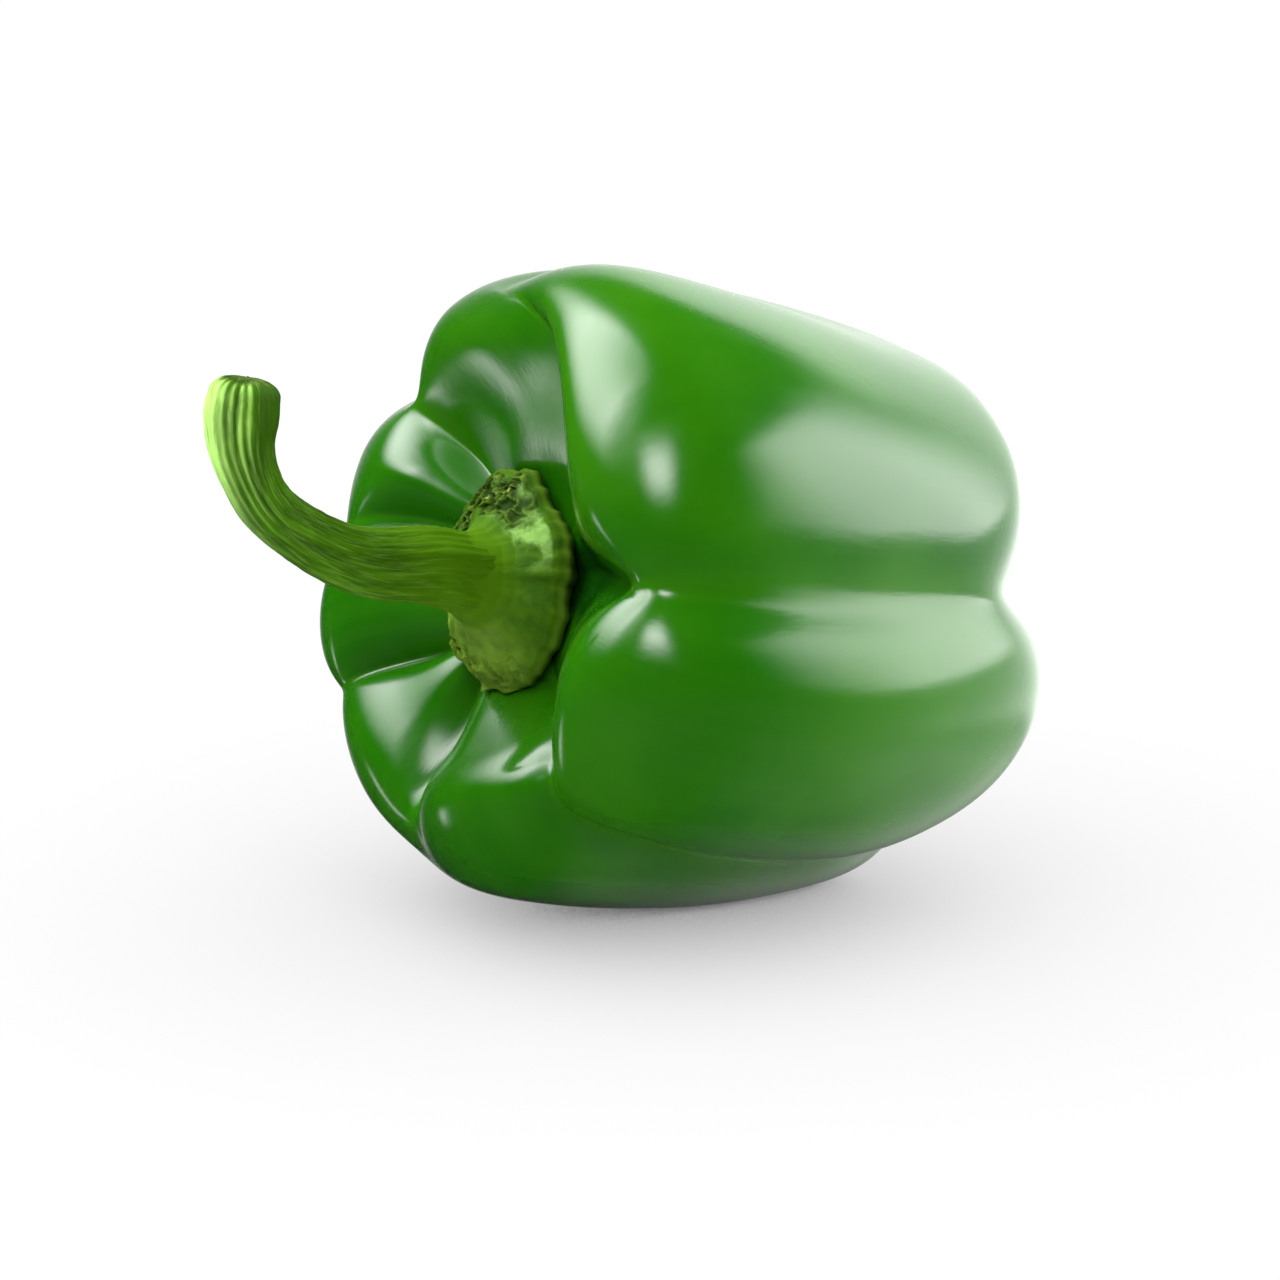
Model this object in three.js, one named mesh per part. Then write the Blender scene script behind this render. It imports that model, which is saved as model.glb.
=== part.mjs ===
// A green bell pepper lying on its side, with its calyx and a hooked stalk.
// Millimetres, +Z up. The stalk points to -X and a little up, and the front is -Y.
// The origin is the middle of the footprint, on the surface that the pepper lies on.
//
// The fruit has its own frame: height runs along its axis from the blossom end to the stalk,
// distance is measured from that axis, and an angle is read as on a clock face seen from the
// stalk: 0 at the top, growing towards the front.

import * as THREE from "three";

// Where the pepper lies: the tilt of its axis, and the point of the axis that is 40 mm from the
// blossom end, measured from the origin.
const TILT = THREE.MathUtils.degToRad(16);
const HEART_HEIGHT = 40;
const HEART = new THREE.Vector3(15.7, 0.9, 35.8);

// Outline of a lobe along its crest, and along the furrow between two lobes, as control points
// [distance, height] of a smooth curve from the blossom end to the seat of the calyx.
const CREST = [
  [0, 7], [9, 5], [18, 2.3], [33, 7.7], [37.5, 15.4], [42.5, 34.4], [43, 50],
  [42.3, 65.3], [38.7, 72.5], [28.5, 78.8], [21.3, 74], [15.8, 71.5], [11.5, 67.5], [0, 67.5],
];
const FURROW = [
  [0, 8], [8, 8.5], [15.5, 10], [22, 12.7], [35, 25], [34.2, 33.5], [36.2, 52],
  [36, 59.5], [33, 72], [30.5, 71.5], [21.5, 66.5], [16, 66.5], [11, 67], [0, 67.5],
];

// The lobes, clockwise from the top. Each one scales the crest's distance at four places along
// it, and lifts its shoulder and drops its blossom end by millimetres.
const LOBES = [
  { tip: 0.98, side: 0.94, upper: 1.03, shoulder: 1.16, lift: -1.9, drop: 0.8 },
  { tip: 1, side: 0.93, upper: 1.01, shoulder: 0.97, lift: 6, drop: -9.5 },
  { tip: 0.95, side: 1.03, upper: 1, shoulder: 1, lift: 4.5, drop: -1.2 },
  { tip: 0.99, side: 0.91, upper: 0.94, shoulder: 1, lift: 4.5, drop: -4 },
  { tip: 0.95, side: 1.11, upper: 0.92, shoulder: 1.12, lift: -1.5, drop: 1.5 },
  { tip: 1, side: 0.97, upper: 0.97, shoulder: 1.1, lift: -0.4, drop: 0 },
  { tip: 1.03, side: 0.9, upper: 1.02, shoulder: 0.92, lift: -0.9, drop: 4 },
];

// The furrow after each lobe, at five places from the blossom end to the calyx: its angle in
// degrees, how deep it lies (0 on the crest, 1 on the furrow outline), how soft its fold is, and
// how round the lobes stand beside it.
const FURROWS = [
  {
    angle: [4, 7, -26, 38, 30],
    depth: [0, 0.2, 0.25, 0.5, 0.9],
    soft: [0.5, 0.7, 0.15, 0.15, 0.1],
    round: [0.6, 0.7, 0.73, 0.71, 0.8],
  },
  {
    angle: [72, 77, 82, 81, 70],
    depth: [0.7, 0.5, 0.7, 0.76, 1],
    soft: [0.05, 0.2, 0.27, 0.04, 0.3],
    round: [0.65, 0.75, 0.85, 0.91, 0.86],
  },
  {
    angle: [137, 142, 139, 125, 148],
    depth: [0.8, 0.5, 0.97, 0.7, 1],
    soft: [0.2, 0.05, 0.16, 0.04, 0.3],
    round: [0.65, 0.4, 0.92, 0.94, 0.87],
  },
  {
    angle: [205, 205, 191, 195, 213],
    depth: [0.4, 0.7, 0, 0.86, 1],
    soft: [0.45, 0.45, 1, 0.08, 0.2],
    round: [0.8, 0.65, 0.5, 0.65, 0.9],
  },
  {
    angle: [250, 246, 234, 235, 226],
    depth: [0.9, 0.6, 0.5, 0.4, 1],
    soft: [0.25, 0.3, 0.35, 0.06, 0.08],
    round: [0.8, 0.7, 0.84, 0.95, 0.93],
  },
  {
    angle: [284, 286, 266, 282, 288],
    depth: [0.3, 0.2, 0.5, 0.2, 0.6],
    soft: [0.4, 0.4, 0.5, 0.4, 0.35],
    round: [0.8, 0.7, 0.75, 0.86, 0.93],
  },
  {
    angle: [323, 316, 302, 308, 311],
    depth: [0.95, 0.7, 0.95, 0.75, 1],
    soft: [0.28, 0.1, 0.05, 0.5, 0.12],
    round: [0.93, 0.66, 0.95, 0.77, 0.93],
  },
];

// Places along the outlines, counted in control points, where those values hold.
const CREST_PLACES = [2, 5, 7.5, 9.5, 12];
const ANGLE_PLACES = [2, 5, 8, 10, 12];
const FOLD_PLACES = [2, 4.5, 7, 9, 12];

// How a lobe's lift and its drop spread along it, and how much of them a full furrow loses.
const LIFT_PLACES = [6, 9, 11, 12.5];
const LIFT_SHARES = [0, 1, 0.3, 0];
const DROP_PLACES = [0, 1, 2.2, 4.5];
const DROP_SHARES = [0, 0.4, 1, 0];
const LOST_IN_FURROW = 0.3;

// The blossom end leans up and to the front, by these millimetres at height 0.
const LEAN_UP = 6;
const LEAN_FRONT = 1.5;
const LEAN_FROM = 80;

// Calyx: a domed cap seated in the hollow of the fruit, rising to a round neck for the stalk. The
// edge's distance from the axis is given at every 45 degrees. The underside and the top are given
// at shares of that distance, and the top as [share, rise over the skin].
const CALYX_GAP = 0.5;
const CALYX_EDGE = [12.8, 11.5, 11.8, 13.3, 13.5, 13.2, 13, 15.1, 12.8];
const CALYX_EDGE_ANGLES = [0, 45, 90, 135, 180, 225, 270, 315, 360];
const CALYX_UNDERSIDE = [0.4, 0.7, 0.8, 0.87, 0.94, 1];
const CALYX_TOP = [
  [1, 1.5], [0.95, 3], [0.86, 4.5], [0.75, 5.7], [0.63, 6.6], [0.53, 7.5], [0.45, 8.6],
];
const NECK_HEIGHT = 77.2;
const NECK_RADIUS = 5;

// Stalk: points of its middle line [up from the axis, height] and its radius at each of them.
const STALK_GAP = 0.35;
const STALK_LINE = [
  [0, NECK_HEIGHT + STALK_GAP], [0.1, 85], [-0.7, 92.5], [-0.3, 98.3], [1.3, 104.2],
  [3.6, 109.6], [6.6, 113], [10.3, 115.5], [13.8, 116.5], [16.6, 116.8], [17.9, 116.8],
];
const STALK_RADII = [NECK_RADIUS, 4.75, 4.35, 3.85, 3.5, 3.4, 3.4, 3.9, 4.4, 4.1, 2.9];
const STALK_END_DOME = 0.6;
const STALK_RIBS = 5;
const STALK_RIB_DEPTH = 0.05;

// How finely each piece is divided, and how strongly the columns of the fruit gather beside the
// furrows, from 0 to 1.
const FRUIT_ROWS = 36;
const COLUMNS_PER_LOBE = 16;
const CALYX_COLUMNS_PER_LOBE = 8;
const STALK_RINGS = 30;
const STALK_SIDES = 20;
const GATHERED = 0.35;

const skinMaterial = new THREE.MeshStandardMaterial({ color: 0x2f7d14, roughness: 0.25 });
const calyxMaterial = new THREE.MeshStandardMaterial({ color: 0x5c7f1e, roughness: 0.7 });
const stalkMaterial = new THREE.MeshStandardMaterial({ color: 0x4f7d1a, roughness: 0.6 });

// Straight-line interpolation of values given at places, read at x and held past both ends.
function between(places, values, x) {
  if (x <= places[0]) return values[0];
  const i = places.findIndex((place) => place >= x);
  if (i < 0) return values.at(-1);
  const share = (x - places[i - 1]) / (places[i] - places[i - 1]);
  return values[i - 1] + (values[i] - values[i - 1]) * share;
}

const perControlPoint = (value) => CREST.map((_, k) => value(k));

// A cubic B-spline through one number per control point, at v from 0 to 1. Past either end the
// numbers are mirrored, with their sign turned for a distance, so a pole closes smoothly.
function spline(numbers, v, mirrorSign) {
  const last = numbers.length - 1;
  const t = v * last;
  const i = Math.min(Math.floor(t), last - 1);
  const f = t - i;
  const weights = [
    (1 - f) ** 3,
    3 * f ** 3 - 6 * f ** 2 + 4,
    -3 * f ** 3 + 3 * f ** 2 + 3 * f + 1,
    f ** 3,
  ];
  let sum = 0;
  weights.forEach((weight, j) => {
    const k = i + j - 1;
    const inside = k < 0 ? -k : k > last ? 2 * last - k : k;
    sum += weight * (inside === k ? 1 : mirrorSign) * numbers[inside];
  });
  return sum / 6;
}

const distanceAt = (numbers, v) => spline(numbers, v, -1);
const heightAt = (numbers, v) => spline(numbers, v, 1);

// Control numbers of each lobe's crest.
const crests = LOBES.map(({ tip, side, upper, shoulder, lift, drop }) => {
  const reach = (k) => between(CREST_PLACES, [tip, side, upper, shoulder, 1], k);
  const raise = (k) =>
    lift * between(LIFT_PLACES, LIFT_SHARES, k) - drop * between(DROP_PLACES, DROP_SHARES, k);
  return {
    reach,
    raise,
    distance: perControlPoint((k) => CREST[k][0] * reach(k)),
    height: perControlPoint((k) => CREST[k][1] + raise(k)),
  };
});

// Control numbers of the furrow after each lobe, between that lobe and the next.
const furrows = FURROWS.map(({ angle, depth, soft, round }, j) => {
  const a = crests[j];
  const b = crests[(j + 1) % crests.length];
  const deep = (k) => between(FOLD_PLACES, depth, k);
  const outline = (k, axis) => THREE.MathUtils.lerp(CREST[k][axis], FURROW[k][axis], deep(k));
  const reach = (k) => (a.reach(k) + b.reach(k)) / 2;
  const raise = (k) => ((a.raise(k) + b.raise(k)) / 2) * (1 - LOST_IN_FURROW * deep(k));
  return {
    distance: perControlPoint((k) => outline(k, 0) * reach(k)),
    height: perControlPoint((k) => outline(k, 1) + raise(k)),
    angle: perControlPoint((k) => between(ANGLE_PLACES, angle, k)),
    soft: perControlPoint((k) => between(FOLD_PLACES, soft, k)),
    round: perControlPoint((k) => between(FOLD_PLACES, round, k)),
  };
});

// Share of the way from crest to furrow, at `inside` from 0 in the furrow to 1 on the crest.
// The lobe is a round hump, and softness widens the fold at its foot.
function fold(inside, soft, round) {
  const eased = (Math.hypot(inside, soft) - soft) / (Math.hypot(1, soft) - soft);
  return (1 - Math.sqrt(1 - round * (1 - eased) ** 2)) / (1 - Math.sqrt(1 - round));
}

// A point of the skin as { distance, height, angle }: s runs from -1 to 1 across a lobe, and v
// from 0 at the blossom end to 1 under the calyx.
function skin(lobe, s, v) {
  const { lerp, degToRad } = THREE.MathUtils;
  const crest = crests[lobe];
  const before = furrows[(lobe + furrows.length - 1) % furrows.length];
  const after = furrows[lobe];
  const near = s < 0 ? before : after;
  const share = fold(1 - Math.abs(s), heightAt(near.soft, v), heightAt(near.round, v));
  const start = heightAt(before.angle, v) - (lobe === 0 ? 360 : 0);
  const end = heightAt(after.angle, v);
  return {
    distance: lerp(distanceAt(crest.distance, v), distanceAt(near.distance, v), share),
    height: lerp(heightAt(crest.height, v), heightAt(near.height, v), share),
    angle: degToRad(lerp(start, end, (s + 1) / 2)),
  };
}

// The same point as a vector in the fruit's frame: x up, y to the back, z along the axis.
function toVector({ distance, height, angle }) {
  const lean = Math.max(0, 1 - height / LEAN_FROM) ** 2;
  return new THREE.Vector3(
    distance * Math.cos(angle) + LEAN_UP * lean,
    -distance * Math.sin(angle) - LEAN_FRONT * lean,
    height,
  );
}

// Calls make(lobe, s) for each column round the fruit, closer together beside the furrows.
function aroundTheFruit(columnsPerLobe, make) {
  const row = [];
  LOBES.forEach((_, lobe) => {
    for (let i = 0; i < columnsPerLobe; i++) {
      const even = (2 * i) / columnsPerLobe - 1;
      const gathered = Math.sin((even * Math.PI) / 2);
      row.push(make(lobe, THREE.MathUtils.lerp(even, gathered, GATHERED)));
    }
  });
  return row;
}

// One closed body from a first point, rings of equally many points, and a last point. Rings turn
// clockwise when seen from the last point.
function closedBody(first, rings, last) {
  const sides = rings[0].length;
  const end = rings.length - 1;
  const points = [first, ...rings.flat(), last];
  const triangles = [];
  const ringPoint = (ring, side) => 1 + ring * sides + (side % sides);
  for (let side = 0; side < sides; side++) {
    triangles.push(0, ringPoint(0, side), ringPoint(0, side + 1));
    for (let ring = 0; ring < end; ring++) {
      const [a, b] = [ringPoint(ring, side), ringPoint(ring, side + 1)];
      const [c, d] = [ringPoint(ring + 1, side), ringPoint(ring + 1, side + 1)];
      triangles.push(a, c, b, b, c, d);
    }
    triangles.push(points.length - 1, ringPoint(end, side + 1), ringPoint(end, side));
  }
  const geometry = new THREE.BufferGeometry().setFromPoints(points);
  geometry.setIndex(triangles);
  return geometry;
}

// Turns a piece from the fruit's frame to where the pepper lies.
const axisUp = new THREE.Vector3(Math.sin(TILT), 0, Math.cos(TILT));
const axisBack = new THREE.Vector3(0, 1, 0);
const axisStalk = new THREE.Vector3(-Math.cos(TILT), 0, Math.sin(TILT));
const resting = new THREE.Matrix4()
  .makeBasis(axisUp, axisBack, axisStalk)
  .setPosition(HEART.clone().addScaledVector(axisStalk, -HEART_HEIGHT));

function piece(name, geometry, material) {
  geometry.applyMatrix4(resting);
  geometry.computeVertexNormals();
  const mesh = new THREE.Mesh(geometry, material);
  mesh.name = name;
  return mesh;
}

// The fruit, with a small flat spot where its weight rests on the surface.
function fruit() {
  const rings = [];
  for (let row = 1; row < FRUIT_ROWS; row++) {
    const v = row / FRUIT_ROWS;
    rings.push(aroundTheFruit(COLUMNS_PER_LOBE, (lobe, s) => toVector(skin(lobe, s, v))));
  }
  const blossomEnd = toVector(skin(0, 0, 0));
  const seat = toVector(skin(0, 0, 1));
  const mesh = piece("fruit", closedBody(blossomEnd, rings, seat), skinMaterial);
  const position = mesh.geometry.getAttribute("position");
  for (let i = 0; i < position.count; i++) position.setZ(i, Math.max(0, position.getZ(i)));
  return mesh;
}

// The skin of the fruit's hollow at a distance from the axis, found by halving between the top of
// the shoulder and the seat.
const SHOULDER_TOP = 10 / (CREST.length - 1);
const HALVINGS = 30;

function skinInHollow(lobe, s, distance) {
  let low = SHOULDER_TOP;
  let high = 1;
  for (let step = 0; step < HALVINGS; step++) {
    const v = (low + high) / 2;
    if (skin(lobe, s, v).distance > distance) low = v;
    else high = v;
  }
  return { ...skin(lobe, s, low), distance };
}

// The calyx: its underside follows the hollow, and its top is a dome that ends in the neck.
function calyx() {
  const edge = (angle) => {
    const degrees = THREE.MathUtils.euclideanModulo(THREE.MathUtils.radToDeg(angle), 360);
    return between(CALYX_EDGE_ANGLES, CALYX_EDGE, degrees);
  };
  const ring = (share, rise) =>
    aroundTheFruit(CALYX_COLUMNS_PER_LOBE, (lobe, s) => {
      const under = skinInHollow(lobe, s, share * edge(skin(lobe, s, 1).angle));
      return toVector({ ...under, height: under.height + rise });
    });
  const underside = CALYX_UNDERSIDE.map((share) => ring(share, CALYX_GAP));
  const top = CALYX_TOP.map(([share, rise]) => ring(share, rise));
  const neck = aroundTheFruit(CALYX_COLUMNS_PER_LOBE, (lobe, s) => {
    const { angle } = skin(lobe, s, 1);
    return toVector({ distance: NECK_RADIUS * ribbed(angle), angle, height: NECK_HEIGHT });
  });
  const middle = (height) => new THREE.Vector3(0, 0, height);
  const seat = middle(skin(0, 0, 1).height + CALYX_GAP);
  const body = closedBody(seat, [...underside, ...top, neck], middle(NECK_HEIGHT));
  return piece("calyx", body, calyxMaterial);
}

// The stalk's section is round with shallow ribs.
function ribbed(angle) {
  return 1 + STALK_RIB_DEPTH * Math.cos(STALK_RIBS * angle);
}

// The stalk: rings across its middle line, ending in a slightly domed cut.
function stalk() {
  const places = STALK_RADII.map((_, i) => i / (STALK_RADII.length - 1));
  const points = STALK_LINE.map(([up, along]) => new THREE.Vector3(up, 0, along));
  const line = new THREE.CatmullRomCurve3(points);
  const rings = [];
  for (let i = 0; i <= STALK_RINGS; i++) {
    const t = i / STALK_RINGS;
    const tangent = line.getTangent(t);
    const across = new THREE.Vector3(tangent.z, 0, -tangent.x);
    const radius = between(places, STALK_RADII, t);
    const ring = [];
    for (let side = 0; side < STALK_SIDES; side++) {
      const angle = (side / STALK_SIDES) * 2 * Math.PI;
      const reach = radius * ribbed(angle);
      const point = line.getPoint(t).addScaledVector(across, reach * Math.cos(angle));
      ring.push(point.addScaledVector(axisBack, -reach * Math.sin(angle)));
    }
    rings.push(ring);
  }
  const end = line.getPoint(1).addScaledVector(line.getTangent(1), STALK_END_DOME);
  return piece("stem", closedBody(line.getPoint(0), rings, end), stalkMaterial);
}

const pepper = new THREE.Group();
pepper.add(fruit(), calyx(), stalk());

export default pepper;
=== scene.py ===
# %% [markdown]
# # A green bell pepper lying on its side
# The solids of the pepper come first: a fruit, a calyx and a stalk, packed as plain facets. This
# lesson dresses them. It makes a fine skin from the same rule that shaped the fruit, grows a
# fibrous calyx and a ribbed stalk, and lights them so that the waxy skin shines.

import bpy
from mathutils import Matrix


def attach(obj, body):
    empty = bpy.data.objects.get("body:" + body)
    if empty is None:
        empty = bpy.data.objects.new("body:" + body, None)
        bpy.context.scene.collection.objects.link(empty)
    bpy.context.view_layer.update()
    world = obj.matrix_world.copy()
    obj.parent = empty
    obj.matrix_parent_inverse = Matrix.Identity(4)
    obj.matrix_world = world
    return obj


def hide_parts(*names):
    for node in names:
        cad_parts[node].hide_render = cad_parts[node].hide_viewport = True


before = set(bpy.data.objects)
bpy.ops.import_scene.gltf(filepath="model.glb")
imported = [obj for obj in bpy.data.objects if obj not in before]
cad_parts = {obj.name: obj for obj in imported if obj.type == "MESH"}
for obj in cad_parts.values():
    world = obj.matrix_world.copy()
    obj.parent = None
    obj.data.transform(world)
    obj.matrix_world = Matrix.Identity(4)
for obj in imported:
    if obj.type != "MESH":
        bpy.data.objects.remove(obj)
print("solids:", sorted(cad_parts))

# %% Libraries
import math

import bpy
import numpy as np
from mathutils import Matrix, Vector

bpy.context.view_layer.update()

# %% [markdown]
# ## The rule of the fruit
# A pepper is a closed bag pinched by furrows. Its outline along a lobe's crest and its outline
# along a furrow are two smooth curves, from the blossom end to the seat of the calyx. Each lobe
# scales the crest a little, and each furrow wanders in angle. Between crest and furrow the skin
# is a rounded hump. The numbers are in millimetres, and they are those of the solids, so the
# fine skin lies where the facets lie.

# %% Outlines and lobes
MM = 0.001
CREST = np.array([
    (0, 7), (9, 5), (18, 2.3), (33, 7.7), (37.5, 15.4), (42.5, 34.4), (43, 50),
    (42.3, 65.3), (38.7, 72.5), (28.5, 78.8), (21.3, 74), (15.8, 71.5), (11.5, 67.5), (0, 67.5),
], float)
FURROW = np.array([
    (0, 8), (8, 8.5), (15.5, 10), (22, 12.7), (35, 25), (34.2, 33.5), (36.2, 52),
    (36, 59.5), (33, 72), (30.5, 71.5), (21.5, 66.5), (16, 66.5), (11, 67), (0, 67.5),
], float)
# tip, side, upper and shoulder scale the crest; lift and drop are millimetres
LOBES = [
    (0.98, 0.94, 1.03, 1.16, -1.9, 0.8),
    (1.00, 0.93, 1.01, 0.97, 6, -9.5),
    (0.95, 1.03, 1.00, 1.00, 4.5, -1.2),
    (0.99, 0.91, 0.94, 1.00, 4.5, -4),
    (0.95, 1.11, 0.92, 1.12, -1.5, 1.5),
    (1.00, 0.97, 0.97, 1.10, -0.4, 0),
    (1.03, 0.90, 1.02, 0.92, -0.9, 4),
]
CREST_PLACES = (2, 5, 7.5, 9.5, 12)
LIFT_PLACES, LIFT_SHARES = (6, 9, 11, 12.5), (0, 1, 0.3, 0)
DROP_PLACES, DROP_SHARES = (0, 1, 2.2, 4.5), (0, 0.4, 1, 0)
print(len(LOBES), "lobes,", len(CREST), "control points along each outline")

# %% The furrow after each lobe
# angle in degrees, depth from 0 to 1, softness of the fold and roundness of the lobes beside it,
# each from the blossom end to the calyx
FURROWS = [
    ((4, 7, -26, 38, 30), (0, 0.2, 0.25, 0.5, 0.9),
     (0.5, 0.7, 0.15, 0.15, 0.1), (0.6, 0.7, 0.73, 0.71, 0.8)),
    ((72, 77, 82, 81, 70), (0.7, 0.5, 0.7, 0.76, 1),
     (0.05, 0.2, 0.27, 0.04, 0.3), (0.65, 0.75, 0.85, 0.91, 0.86)),
    ((137, 142, 139, 125, 148), (0.8, 0.5, 0.97, 0.7, 1),
     (0.2, 0.05, 0.16, 0.04, 0.3), (0.65, 0.4, 0.92, 0.94, 0.87)),
    ((205, 205, 191, 195, 213), (0.4, 0.7, 0, 0.86, 1),
     (0.45, 0.45, 1, 0.08, 0.2), (0.8, 0.65, 0.5, 0.65, 0.9)),
    ((250, 246, 234, 235, 226), (0.9, 0.6, 0.5, 0.4, 1),
     (0.25, 0.3, 0.35, 0.06, 0.08), (0.8, 0.7, 0.84, 0.95, 0.93)),
    ((284, 286, 266, 282, 288), (0.3, 0.2, 0.5, 0.2, 0.6),
     (0.4, 0.4, 0.5, 0.4, 0.35), (0.8, 0.7, 0.75, 0.86, 0.93)),
    ((323, 316, 302, 308, 311), (0.95, 0.7, 0.95, 0.75, 1),
     (0.28, 0.1, 0.05, 0.5, 0.12), (0.93, 0.66, 0.95, 0.77, 0.93)),
]
ANGLE_PLACES = (2, 5, 8, 10, 12)
FOLD_PLACES = (2, 4.5, 7, 9, 12)
LOST_IN_FURROW = 0.3
print(len(FURROWS), "furrows")

# %% Where the pepper lies
TILT = math.radians(16)
HEART_HEIGHT = 40
HEART = np.array((15.7, 0.9, 35.8))
LEAN_UP, LEAN_FRONT, LEAN_FROM = 6, 1.5, 80
AXIS_UP = np.array((math.sin(TILT), 0, math.cos(TILT)))
AXIS_BACK = np.array((0.0, 1.0, 0.0))
AXIS_STALK = np.array((-math.cos(TILT), 0, math.sin(TILT)))


def rest(points):
    """Points of the fruit's frame (up, back, along the axis; mm) where the pepper lies, in metres."""
    up, back, along = points[..., 0:1], points[..., 1:2], points[..., 2:3]
    return (HEART + up * AXIS_UP + back * AXIS_BACK + (along - HEART_HEIGHT) * AXIS_STALK) * MM


print("stalk direction:", AXIS_STALK.round(3))

# %% Smooth curves through control numbers
POINTS = np.arange(len(CREST))


def spline(numbers, v, mirror_sign):
    """A cubic B-spline at v from 0 to 1, mirrored past both ends so that a pole closes smoothly."""
    last = len(numbers) - 1
    t = np.asarray(v, float) * last
    i = np.minimum(t.astype(int), last - 1)
    f = t - i
    weights = ((1 - f) ** 3, 3 * f**3 - 6 * f**2 + 4, -3 * f**3 + 3 * f**2 + 3 * f + 1, f**3)
    total = 0
    for j, weight in enumerate(weights):
        k = i + j - 1
        inside = np.where(k < 0, -k, np.where(k > last, 2 * last - k, k))
        total = total + weight * np.where(inside == k, 1, mirror_sign) * numbers[inside]
    return total / 6


def distance_at(numbers, v):
    return spline(numbers, v, -1)


def height_at(numbers, v):
    return spline(numbers, v, 1)


print("crest at mid height:", distance_at(CREST[:, 0], 0.5).round(2), "mm from the axis")

# %% Control numbers of every crest and furrow
crests = []
for tip, side, upper, shoulder, lift, drop in LOBES:
    reach = np.interp(POINTS, CREST_PLACES, (tip, side, upper, shoulder, 1))
    lifted = lift * np.interp(POINTS, LIFT_PLACES, LIFT_SHARES)
    rise = lifted - drop * np.interp(POINTS, DROP_PLACES, DROP_SHARES)
    crests.append({
        "reach": reach,
        "rise": rise,
        "distance": CREST[:, 0] * reach,
        "height": CREST[:, 1] + rise,
    })

furrows = []
for j, (angle, depth, soft, roundness) in enumerate(FURROWS):
    a, b = crests[j], crests[(j + 1) % len(crests)]
    deep = np.interp(POINTS, FOLD_PLACES, depth)
    mixed = CREST * (1 - deep[:, None]) + FURROW * deep[:, None]
    furrows.append({
        "distance": mixed[:, 0] * (a["reach"] + b["reach"]) / 2,
        "height": mixed[:, 1] + (a["rise"] + b["rise"]) / 2 * (1 - LOST_IN_FURROW * deep),
        "angle": np.interp(POINTS, ANGLE_PLACES, angle),
        "soft": np.interp(POINTS, FOLD_PLACES, soft),
        "round": np.interp(POINTS, FOLD_PLACES, roundness),
    })
print("control numbers made for", len(crests), "crests and", len(furrows), "furrows")


# %% The skin at any place
GATHERED = 0.35


def fold(inside, soft, roundness):
    """Share of the way from crest (inside 1) to furrow (inside 0): a round hump with a soft foot."""
    eased = (np.hypot(inside, soft) - soft) / (np.hypot(1, soft) - soft)
    return (1 - np.sqrt(1 - roundness * (1 - eased) ** 2)) / (1 - np.sqrt(1 - roundness))


def skin(lobe, s, v):
    """Distance, height (mm), angle (radians) and fold share, at s from -1 to 1 across a lobe."""
    before, after = furrows[lobe - 1], furrows[lobe]
    left = s < 0

    def near(key, curve):
        return np.where(left, curve(before[key], v), curve(after[key], v))

    share = fold(1 - np.abs(s), near("soft", height_at), near("round", height_at))
    start = height_at(before["angle"], v) - (360 if lobe == 0 else 0)
    end = height_at(after["angle"], v)
    crest = crests[lobe]
    distance = distance_at(crest["distance"], v) * (1 - share) + near("distance", distance_at) * share
    height = height_at(crest["height"], v) * (1 - share) + near("height", height_at) * share
    return distance, height, np.radians(start + (end - start) * (s + 1) / 2), share


def in_fruit_frame(distance, height, angle):
    """The same place as points: up, back, along. The blossom end leans up and to the front."""
    lean = np.maximum(0, 1 - height / LEAN_FROM) ** 2
    up = distance * np.cos(angle) + LEAN_UP * lean
    back = -distance * np.sin(angle) - LEAN_FRONT * lean
    return np.stack([up, back, height + 0 * up], -1)


def columns(per_lobe):
    """(lobe, places across it) for each lobe, closer together beside the furrows."""
    even = np.arange(per_lobe) * 2 / per_lobe - 1
    across = (1 - GATHERED) * even + GATHERED * np.sin(even * math.pi / 2)
    return [(lobe, across[None, :]) for lobe in range(len(LOBES))]


def around(per_lobe, v):
    """The skin on a grid: rows v by all columns round the fruit."""
    fields = [skin(lobe, s, v) for lobe, s in columns(per_lobe)]
    return [np.concatenate([np.broadcast_to(f[k], f[0].shape) for f in fields], 1) for k in range(4)]


print("skin distance on lobe 1, mid:", skin(0, np.zeros((1, 1)), np.array([[0.5]]))[0].round(2))

# %% [markdown]
# ## From rings to a mesh
# Fruit, calyx and cut end are all stacks of rings closed by a point at each end. One helper makes
# the faces, gives a UV map that runs once round (u) and once along (v), and stores any field that
# a material will read. UVs sit on face corners, so the last column can end at u = 1 with no seam.


# %% A closed mesh from rings
UV_NAME = "Skin"


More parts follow.
